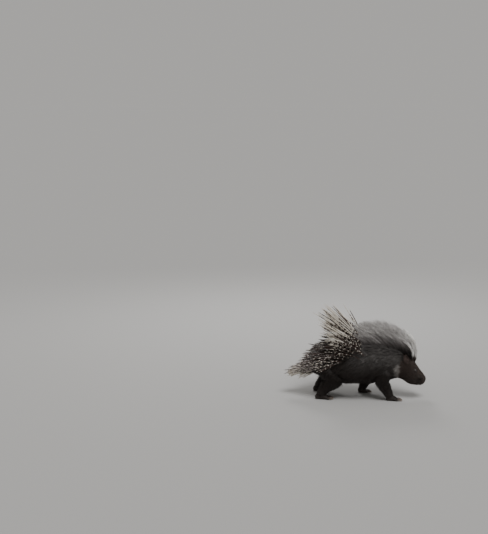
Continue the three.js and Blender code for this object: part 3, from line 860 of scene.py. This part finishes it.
shape = {
    "raise": np.radians(rng.uniform(12, 24, amount)),
    "turn": np.radians(rng.uniform(6, 22, amount)),
    "length": length,
    "width": np.interp(roots["station"], [6.8, 8.5, 11], [1.25, 0.95, 0.7]) * MM,
    "flat": 0.55,
    "sway": rng.normal(0, 0.06, amount),
}
face_hair = strands("face_hair", roots, lie, shape, HAIR, clump=5, pull=0.35)

bristle_finish, make = new_finish("dark_bristle")
along, chance, pale, tone = attributes(make, "along", "chance", "pale", "tone")
dark = chance.mix(colour(0.008, 0.0052, 0.004), colour(0.026, 0.018, 0.014))
dark = (along.step(0.4, 1.0) * 0.55).mix(dark, colour(0.050, 0.037, 0.030))
# partly painted light: the olive grey hair, made stronger on top to fill the shade under the crest
light = chance.mix(colour(0.038, 0.035, 0.032), colour(0.100, 0.092, 0.087))
light = (along.step(0.25, 1.0) * 0.65).mix(light, colour(0.19, 0.178, 0.172))
# painted shade: the collar's white hair is painted grey, as it lies in shade under the head
white = chance.mix(colour(0.14, 0.128, 0.12), colour(0.34, 0.32, 0.305))
base = pale.step(0.35, 0.6).mix(tone.mix(dark, light), white)
close(make, Base_Color=base, Roughness=0.48, Specular_IOR_Level=0.45)

face_finish, make = new_finish("face_hair")
along, chance, pale = attributes(make, "along", "chance", "pale")
dark = chance.mix(colour(0.022, 0.015, 0.012), colour(0.062, 0.042, 0.034))
dark = (along.step(0.3, 1.0) * 0.8).mix(dark, colour(0.13, 0.095, 0.08))
# painted shade: the collar's white face hair is painted grey, as it lies in shade under the head
base = pale.step(0.35, 0.6).mix(dark, colour(0.40, 0.37, 0.35))
close(make, Base_Color=base, Roughness=0.5, Specular_IOR_Level=0.4)
face_hair.data.materials.append(face_finish)

rng = np.random.default_rng(109)
amount = 900
ear_spots = ears.data.vertices
picked = rng.choice(len(ear_spots), amount, replace=False)
spot = read(ear_spots, "co")[picked]
roots = {
    "spot": spot,
    "out": read(ear_spots, "normal")[picked],
    "chance": rng.random(amount),
    "pale": np.zeros(amount),
}
lie = np.array([-1.0, 0.0, 0.5]) + rng.normal(0, 0.25, (amount, 3))
shape = {
    "raise": np.radians(rng.uniform(18, 42, amount)),
    "turn": np.radians(rng.uniform(5, 30, amount)),
    "length": rng.uniform(4, 10, amount) * MM,
    "width": 0.7 * MM,
    "flat": 0.6,
}
ear_patch = 0.5 + (spot - HOME)[:, [0, 2]] * [1, 0.3]
ear_hair = strands("ear_hair", roots, along_skin(lie, roots["out"]), shape, HAIR, patch=ear_patch)
ear_hair.data.materials.append(face_finish)


# Dark bristles: stiff, flat and grooved, they clothe the neck, throat, shoulders, flanks and
# belly, lying back and down, and stand thin among the quills. A white half collar crosses the
# throat, painted grey as painted shade under the head. Each is a flat closed strand, and
# neighbours bend together into locks.
def bristle_coat(name, seed, amount, weight, lengths, width, raised, clump, pull):
    rng = np.random.default_rng(seed)
    roots = scatter(rng, amount, weight)
    count = len(roots["spot"])
    roots["chance"] = rng.random(count)
    roots["pale"] = collar(roots["spot"]) * rng.uniform(0.6, 1.3, count)
    roots["tone"] = np.clip(grey(roots["spot"]) + rng.normal(0, 0.12, count), 0, 1)
    sidewards = np.abs(np.cos(roots["angle"]))
    lie = -roots["forward"] - Z * (0.18 + 0.42 * sidewards)[:, None]
    lie = along_skin(lie + rng.normal(0, 0.1, (count, 3)), roots["out"])
    belly = smoothstep(-0.35, -0.85, np.sin(roots["angle"]))
    nape = smoothstep(0.62, 0.86, np.sin(roots["angle"])) * smoothstep(3.5, 4, roots["station"])
    length = np.interp(roots["station"], *lengths) * (1 - 0.4 * belly) * MM
    shape = {
        "raise": np.radians(rng.uniform(*raised, count) + 22 * belly + 20 * nape),
        "turn": np.radians(rng.uniform(8, 26, count)),
        "length": length * rng.uniform(0.7, 1.12, count),
        "width": width * rng.uniform(0.75, 1.2, count) * MM,
        "flat": 0.4,
        "sway": rng.normal(0, 0.05, count),
    }
    piece = strands(name, roots, lie, shape, BRISTLE, clump=clump, pull=pull)
    piece.data.materials.append(bristle_finish)


NECK_STARTS = 3.7
neck_part = is_trunk & (stations > NECK_STARTS)
under_part = is_trunk & (stations <= NECK_STARTS) & (from_top > math.radians(88))
back_part = is_trunk & (stations <= 3.9) & (from_top <= math.radians(95))
neck_lengths = ([3.7, 4.6, 5.6, 6.4, 7], [70, 68, 60, 46, 30])
flank_lengths = ([0, 0.6, 1.5, 3.0, 3.7], [34, 44, 58, 68, 70])
bristle_coat("neck_bristles", 211, 8600, neck_part, neck_lengths, 2.1, (9, 18), 7, 0.55)
bristle_coat("flank_bristles", 223, 5200, under_part, flank_lengths, 2.2, (9, 18), 7, 0.55)
bristle_coat("back_bristles", 227, 5200, back_part, flank_lengths, 2.2, (12, 26), 5, 0.4)


# Leg and foot hair: short, coarse and black, it lies down the legs and forward over the toes,
# longer on the thigh and upper arm. Tufts are spikes as on the face.
def leg_patches(spots):
    """A root's place on an unwrap of the four legs: a strip each, round it and up it."""
    away = (spots - HOME) / MM
    forelegs = away[:, 0] > -40
    left = away[:, 1] > 0
    strip = forelegs * 2 + left
    middle_x = np.where(forelegs, np.where(left, 90, 165), -160)
    round_it = np.arctan2(away[:, 1] - np.where(left, 73, -73), away[:, 0] - middle_x)
    return np.stack([(strip + 0.5 + round_it / (2.2 * math.pi)) / 4, away[:, 2] / 260], 1)


rng = np.random.default_rng(307)
roots = scatter(rng, 17500, is_leg * 1.0 + is_foot * 1.5)
height = roots["spot"][:, 2] / MM
# no hair under the soles
keep = (height > 5) & ~((roots["out"][:, 2] < -0.5) & (height < 20))
roots = {key: values[keep] for key, values in roots.items()}
amount, height = int(keep.sum()), height[keep]
roots["chance"] = rng.random(amount)
roots["pale"] = roots["tone"] = np.zeros(amount)
on_foot = smoothstep(38, 22, height)[:, None]
lie = np.array([-0.3, 0, -1.0]) * (1 - on_foot) + np.array([1.0, 0, -0.35]) * on_foot
lie = along_skin(lie + rng.normal(0, 0.14, (amount, 3)), roots["out"])
shaggy = (rng.random(amount) < 0.16) * smoothstep(30, 60, height)
shape = {
    "raise": np.radians(rng.uniform(10, 22, amount) + 7 * shaggy),
    "turn": np.radians(rng.uniform(4, 20, amount)),
    "length": np.interp(height, [8, 30, 60, 100, 160], [4.5, 8, 14, 24, 36]) * MM
    * rng.uniform(0.7, 1.2, amount) * (1 + 0.45 * shaggy),
    "width": np.interp(height, [8, 40, 120], [0.8, 1.15, 1.7]) * MM,
    "flat": 0.5,
    "sway": rng.normal(0, 0.06, amount),
}
leg_patch = leg_patches(roots["spot"])
leg_hair = strands("leg_hair", roots, lie, shape, HAIR, clump=5, pull=0.4, patch=leg_patch)
leg_hair.data.materials.append(bristle_finish)


# Crest: long, stiff, curved bristles from the brow over the nape to the middle of the back, half
# raised. They are dark at the root and greyish white beyond, and the foremost, on the brow, are
# white and lean over the face before they sweep back. Towards the back of the crest the roots
# are painted mid-grey, as painted light that fills the shade at the crest's base.
CREST = np.array([
    # station, raise, turn, length
    [3.8, 54, 36, 132],
    [4.4, 58, 36, 156],
    [5, 63, 38, 174],
    [5.55, 69, 38, 186],
    [6.1, 75, 42, 194],
    [6.55, 82, 48, 188],
    [7, 92, 56, 178],
    [7.4, 103, 72, 186],
    [7.8, 118, 98, 196],
])
CREST_LEAN = 0.6
CREST_HAIR = [
    (0, 0.8, 0.9), (0.16, 1, 1), (0.38, 1, 1), (0.6, 0.9, 0.9), (0.82, 0.66, 0.7), (1, 0, 0),
]
DARK_ROOTS = ([4, 5, 6, 7, 7.5], [0.06, 0.08, 0.18, 0.34, 0.42])


def crest_strands(name, seed, amount, zone, width, clump, pull, spread, lengths):
    rng = np.random.default_rng(seed)
    roots = scatter(rng, amount, zone)
    count = len(roots["spot"])
    roots["chance"] = rng.random(count)
    roots["pale"] = (rng.random(count) < 0.93 * smoothstep(7.3, 7.62, roots["station"])) * 1.0
    roots["start"] = np.interp(roots["station"], *DARK_ROOTS)
    lean = (roots["angle"] - math.pi / 2) * CREST_LEAN + rng.normal(0, spread, count)
    roots["out"] = np.stack([np.zeros(count), -np.sin(lean), np.cos(lean)], 1)
    lie = np.broadcast_to(np.array([-1.0, 0.0, 0.0]), (count, 3))
    raised, turn, length = (
        np.interp(roots["station"], CREST[:, 0], column) for column in CREST.T[1:]
    )
    shape = {
        "raise": np.radians(raised + rng.normal(0, 45 * spread, count)),
        "turn": np.radians(turn * rng.uniform(0.86, 1.12, count)),
        "length": length * (1 - 0.25 * np.abs(lean)) * rng.uniform(*lengths, count) * MM,
        "width": width * rng.uniform(0.75, 1.25, count) * MM,
        "flat": 0.5,
        "roll": rng.uniform(0, math.pi, count),
        "sway": rng.normal(0, 0.03, count),
    }
    return strands(name, roots, lie, shape, CREST_HAIR, sink=4 * MM, clump=clump, pull=pull)


crest_zone = (stations > 3.7) & (stations < 7.6) & (from_top < 0.66) & (is_trunk | is_head)
brow_zone = (stations > 7.56) & (stations < 7.95) & (from_top < 0.27) & is_head
crest_zone = crest_zone * (1.2 - from_top)
crest = crest_strands("crest_bristles", 401, 5400, crest_zone, 2.3, 7, 0.5, 0.07, (0.76, 1.02))
brow = crest_strands("brow_bristles", 409, 1200, brow_zone, 2.4, 9, 0.65, 0.03, (0.86, 1.03))
crest_finish, make = new_finish("crest_bristle")
along, chance, pale, start = attributes(make, "along", "chance", "pale", "start")
shifted = along - start + (chance - 0.5) * 0.14
# painted light: towards the back, where the dark root part is short, the roots are mid-grey to fill
# the shade at the crest's base
root = start.step(0.1, 0.3).mix(colour(0.075, 0.066, 0.063), colour(0.030, 0.024, 0.022))
ashen = shifted.step(-0.06, 0.14).mix(root, colour(0.17, 0.152, 0.148))
silver = chance.mix(colour(0.21, 0.19, 0.186), colour(0.44, 0.42, 0.412))
ashen = shifted.step(0.12, 0.42).mix(ashen, silver)
ashen = (along.step(0.66, 1.0) * 0.8).mix(ashen, colour(0.66, 0.64, 0.62))
white = along.step(0.12, 0.26).mix(colour(0.08, 0.06, 0.05), colour(0.90, 0.885, 0.86))
close(make, Base_Color=pale.mix(ashen, white), Roughness=0.42, Specular_IOR_Level=0.5)
for piece in (crest, brow):
    piece.data.materials.append(crest_finish)


# Quills: smooth spines of keratin, black with cream bands and a white tip. Long slender ones rise
# in a sheaf from the middle of the back, and stout ones lie level over the rump like thatch.
# Each is a round closed spindle, sunk in the skin.
QUILLS = np.array([
    # station, rise over the level, turn, length, width, spread, and how they shorten down the flank
    [0.1, -4, 8, 104, 4.4, 0.3, 0.3],
    [0.9, 0, 8, 118, 5.2, 0.28, 0.3],
    [1.6, 3, 10, 122, 5.4, 0.28, 0.3],
    [2.1, 8, 10, 128, 5.4, 0.32, 0.5],
    [2.35, 18, 10, 132, 5.2, 0.45, 0.8],
    [2.6, 42, 10, 178, 5.2, 0.6, 1],
    [3, 47, 12, 264, 5.4, 0.7, 1],
    [3.4, 54, 12, 276, 5.2, 0.7, 1],
    [3.75, 60, 12, 185, 4.8, 0.65, 1],
])
# how far down the flank they grow, in degrees from the top, and the station where they end
QUILL_EDGE = ([0, 2, 2.5], [82, 78, 70])
QUILLS_END = 3.74
SPINDLE = [
    (0, 0.5, 0.5), (0.06, 0.85, 0.85), (0.22, 1, 1), (0.55, 1, 1), (0.78, 0.92, 0.92),
    (0.9, 0.66, 0.66), (0.965, 0.34, 0.34), (1, 0, 0),
]


def quill_strands(name, seed, first, last, gap):
    rng = np.random.default_rng(seed)
    zone = is_trunk & (stations >= first) & (stations < last) & (from_top < math.radians(88))
    roots = spaced(scatter(rng, 9000, zone), gap)
    down = np.abs((roots["angle"] + math.pi / 2) % (2 * math.pi) - math.pi) / (math.pi / 2)
    amount = len(down)
    limit = np.interp(roots["station"], *QUILL_EDGE) + rng.normal(0, 5, amount)
    keep = (down * 90 < limit) & (roots["station"] < QUILLS_END + rng.normal(0, 0.07, amount))
    roots = {key: values[keep] for key, values in roots.items()}
    down, count = down[keep], int(keep.sum())
    rise, turn, length, width, spread, fall = (
        np.interp(roots["station"], QUILLS[:, 0], column) for column in QUILLS.T[1:]
    )
    up = np.radians(rise - 14 * down + rng.normal(0, 4, count))
    aside = spread * np.cos(roots["angle"]) + rng.normal(0, 0.05, count)
    lie = unit(np.stack([-np.cos(up), aside, np.sin(up)], 1))
    roots["out"] = unit(Z - lie * lie[:, 2:])
    length = length * (1 - fall * down**2) * rng.uniform(0.8, 1.03, count)
    roots["chance"] = rng.random(count)
    # most of the tall ones end in a long white tip, and the rump's have dull grey bands; between
    # them the ridge is dark, with few white tips
    at = roots["station"]
    tall = smoothstep(2.3, 2.7, at) * smoothstep(0.72, 0.4, down) * (rng.random(count) < 0.64)
    ridge = smoothstep(0.7, 1.3, at) * smoothstep(2.5, 2.3, at) * smoothstep(0.7, 0.4, down)
    rump = smoothstep(1.6, 0.9, at) * (1 - ridge)
    tip = np.where(rng.random(count) < 0.5 + 0.5 * rump - 0.38 * ridge, 0.09, 0.03) + 0.34 * tall
    roots["tip"] = length * tip * rng.uniform(0.75, 1.25, count) * MM
    roots["band"] = rng.uniform(22, 34, count) * MM
    roots["white"] = 0.78 - 0.32 * tall - 0.66 * rump + 0.3 * ridge
    roots["white"] += rng.uniform(-0.14, 0.14, count)
    roots["tone"] = rump
    shape = {
        "raise": 0,
        "turn": np.radians(turn * rng.uniform(0.4, 1.6, count)),
        "length": length * MM,
        "width": width * rng.uniform(0.85, 1.12, count) * MM,
        "sway": rng.normal(0, 0.012, count),
    }
    return strands(name, roots, lie, shape, SPINDLE, sides=6, sink=8 * MM)


long_quills = quill_strands("long_quills", 503, 2.3, 4, 9.5 * MM)
stout_quills = quill_strands("stout_quills", 509, 0, 2.3, 10 * MM)
quill_finish, make = new_finish("banded_quill")
names = ("from_tip", "chance", "tip", "band", "white", "tone")
from_tip, chance, tip, band, white, tone = attributes(make, *names)
below_tip = from_tip - tip
wave = below_tip.math("COSINE", (below_tip / band) * (2 * math.pi) + math.pi) - white
pale_band = wave.step(0.0, 0.3) * below_tip.step(-0.001, 0.001)
white_tip = 1 - below_tip.step(-0.0015, 0.0015)
tone = tone * (0.6 + chance * 0.4)
cream = chance.mix(colour(0.62, 0.56, 0.47), colour(0.80, 0.76, 0.69))
cream = tone.mix(cream, colour(0.26, 0.22, 0.215))
dark = chance.mix(colour(0.018, 0.011, 0.008), colour(0.055, 0.028, 0.020))
dark = tone.mix(dark, colour(0.065, 0.045, 0.043))
base = (pale_band * 0.92 + white_tip).mix(dark, cream)
bump = relief(make, grain(make, 700, 2.0), 0.15, 0.0002)
close(make, Base_Color=base, Roughness=0.34, Normal=bump, Coat_Weight=0.15, Coat_Roughness=0.3)
for piece in (long_quills, stout_quills):
    piece.data.materials.append(quill_finish)


# Tail: a short stub under white quills, with a bunch of rattle quills at its tip. A rattle is a
# hollow capsule, open at its end, on a thin stalk, so its wall turns back inside.
def placed_roots(rng, spot, out, station, angle):
    """Roots that aren't scattered but given, as scatter would return them."""
    chance = rng.random(len(spot))
    return {"spot": spot, "out": out, "station": station, "angle": angle, "chance": chance}


def all_white(roots):
    """Marks for quills with a tip longer than themselves, and no band."""
    whole = np.ones(len(roots["spot"]))
    return {**roots, "tip": whole, "band": 0.03 * whole, "white": 0 * whole}


rng = np.random.default_rng(601)
amount = 230
u = rng.uniform(0.12, 0.99, amount)
angle = rng.uniform(0, 2 * math.pi, amount)
out = slopes(TAIL, u, angle, back=NUDGE)[2]
roots = placed_roots(rng, surface(TAIL, u, angle), out, u * SPANS, angle)
roots = all_white(spaced(roots, 4.5 * MM))
amount = len(roots["spot"])
lie = along_skin(sections(TAIL, roots["station"] / SPANS)[2], roots["out"])
shape = {
    "raise": np.radians(rng.uniform(12, 36, amount)),
    "turn": np.radians(rng.uniform(2, 10, amount)),
    "length": rng.uniform(42, 74, amount) * MM,
    "width": rng.uniform(2.2, 3.6, amount) * MM,
    "sway": rng.normal(0, 0.02, amount),
}
tail_quills = strands("tail_quills", roots, lie, shape, SPINDLE, sides=6, sink=4 * MM)
tail_quills.data.materials.append(quill_finish)

RATTLE = [
    (0, 0.3, 0.3), (0.5, 0.26, 0.26), (0.56, 0.55, 0.55), (0.62, 0.92, 0.92), (0.74, 1, 1),
    (0.9, 0.94, 0.94), (1, 0.84, 0.84), (0.995, 0.72, 0.72), (0.88, 0.78, 0.78), (0.7, 0.8, 0.8),
    (0.64, 0.55, 0.55), (0.625, 0, 0),
]
rattles = 14
end_middle, _, end_forward, end_side, end_up = (way[0] for way in sections(TAIL, 1.0))
angle = np.arange(rattles) / rattles * 2 * math.pi
outward = np.cos(angle)[:, None] * end_side + np.sin(angle)[:, None] * end_up
inner = np.arange(rattles) % 2 == 1
ring = np.where(inner, 4, 8) * MM
spot = end_middle + outward * ring[:, None] + end_forward * 4 * MM
roots = all_white(placed_roots(rng, spot, outward, np.full(rattles, 0.1), angle))
shape = {
    "raise": np.radians(np.where(inner, 8, 19) + rng.uniform(-3, 3, rattles)),
    "turn": np.radians(6),
    "length": rng.uniform(44, 60, rattles) * MM,
    "width": rng.uniform(5.8, 6.8, rattles) * MM,
    "sway": rng.normal(0, 0.03, rattles),
}
lie = np.broadcast_to(end_forward, (rattles, 3))
tail_rattles = strands("tail_rattles", roots, lie, shape, RATTLE, sides=14, sink=6 * MM)
tail_rattles.data.materials.append(quill_finish)


# Whiskers: long black bristles in rows on the pads of the muzzle, swept back and down. Each is a
# fine closed strand rooted in the pad.
rng = np.random.default_rng(701)
rows, per_row = 5, 7
amount = rows * per_row * 2
row = np.tile(np.repeat(np.arange(rows), per_row), 2)
column = np.tile(np.arange(per_row), rows * 2)
sign = np.repeat([1, -1], rows * per_row)
u = (10.75 - 0.16 * column - 0.04 * row) / SPANS
angle = math.pi / 2 - sign * np.radians(62 + 11 * row + rng.uniform(-3, 3, amount))
_, ahead, out = slopes(TRUNK, u, angle, TRUNK_POWER)
spot = surface(TRUNK, u, angle, TRUNK_POWER, -0.5 * MM)
roots = placed_roots(rng, spot, out, u * SPANS, angle)
lie = along_skin(-unit(ahead) - 0.2 * Z + rng.normal(0, 0.08, (amount, 3)), out)
shape = {
    "raise": np.radians(48 - 3 * column + rng.uniform(-6, 6, amount)),
    "turn": np.radians(rng.uniform(30, 55, amount)),
    "length": (46 + 9.5 * column + rng.uniform(-8, 8, amount)) * MM,
    "width": 0.85 * MM,
}
WHISKER = [
    (0, 1, 1), (0.2, 0.95, 0.95), (0.4, 0.85, 0.85), (0.6, 0.7, 0.7), (0.8, 0.5, 0.5), (1, 0, 0),
]
whiskers = strands("whiskers", roots, lie, shape, WHISKER, sides=4, sink=6 * MM)
whisker_finish, make = new_finish("whisker")
along, = attributes(make, "along")
horn = along.mix(colour(0.010, 0.008, 0.007), colour(0.045, 0.036, 0.030))
close(make, Base_Color=horn, Roughness=0.35, Specular_IOR_Level=0.5)
whiskers.data.materials.append(whisker_finish)


# Floor: a plain pale studio floor, wide enough to reach past every view. It is one flat disc that
# takes the shadow, and no part of the animal.
floor_bm = bmesh.new()
bmesh.ops.create_circle(floor_bm, cap_ends=True, segments=96, radius=60)
floor = new_piece("floor", floor_bm)
floor_finish, make = new_finish("studio_floor")
close(make, Base_Color=colour(0.425, 0.42, 0.412), Roughness=0.9, Specular_IOR_Level=0.1)
floor.data.materials.append(floor_finish)


# Studio light: an even surround as bright as the lit floor, so that no horizon shows, with one
# broad soft light from high in front, and a weak one from behind that edges quills and crest.
world = bpy.data.worlds.new("surround")
bpy.context.scene.world = world
world.use_nodes = True
surround = world.node_tree.nodes["Background"]
surround.inputs["Color"].default_value = colour(0.444, 0.435, 0.420)
surround.inputs["Strength"].default_value = 1.0


def soft_light(name, kind, place, power, softness):
    data = bpy.data.lights.new(name, kind)
    data.energy = power
    if kind == "SUN":
        data.angle = softness
    else:
        data.shape = "DISK"
        data.size = softness
    lamp = new_object(name, data)
    lamp.location = place
    aim = Vector((0.0, 0.0, 0.2)) - Vector(place)
    lamp.rotation_euler = aim.to_track_quat("-Z", "Y").to_euler()


soft_light("key", "SUN", (0.9, -1.6, 3.8), 2.1, math.radians(28))
soft_light("rim", "AREA", (-0.6, 2.4, 2.2), 30, 1.2)


# Camera: where the photograph was taken from, a little above the animal and square to its right
# side, with the animal small in the frame. Focal length and angles are those of the photograph.
PHOTO_HEIGHT = 534
FOCAL_PIXELS = 1100
camera_data = bpy.data.cameras.new("camera")
camera_data.sensor_width = 36
camera_data.lens = FOCAL_PIXELS / PHOTO_HEIGHT * camera_data.sensor_width
camera_data.clip_end = 200
camera = new_object("camera", camera_data)
camera.location = Vector(HOME) + Vector((0.004, -5.665, 1.644))
camera.rotation_euler = (math.radians(90 - 9.6), 0, math.radians(6))
bpy.context.scene.camera = camera
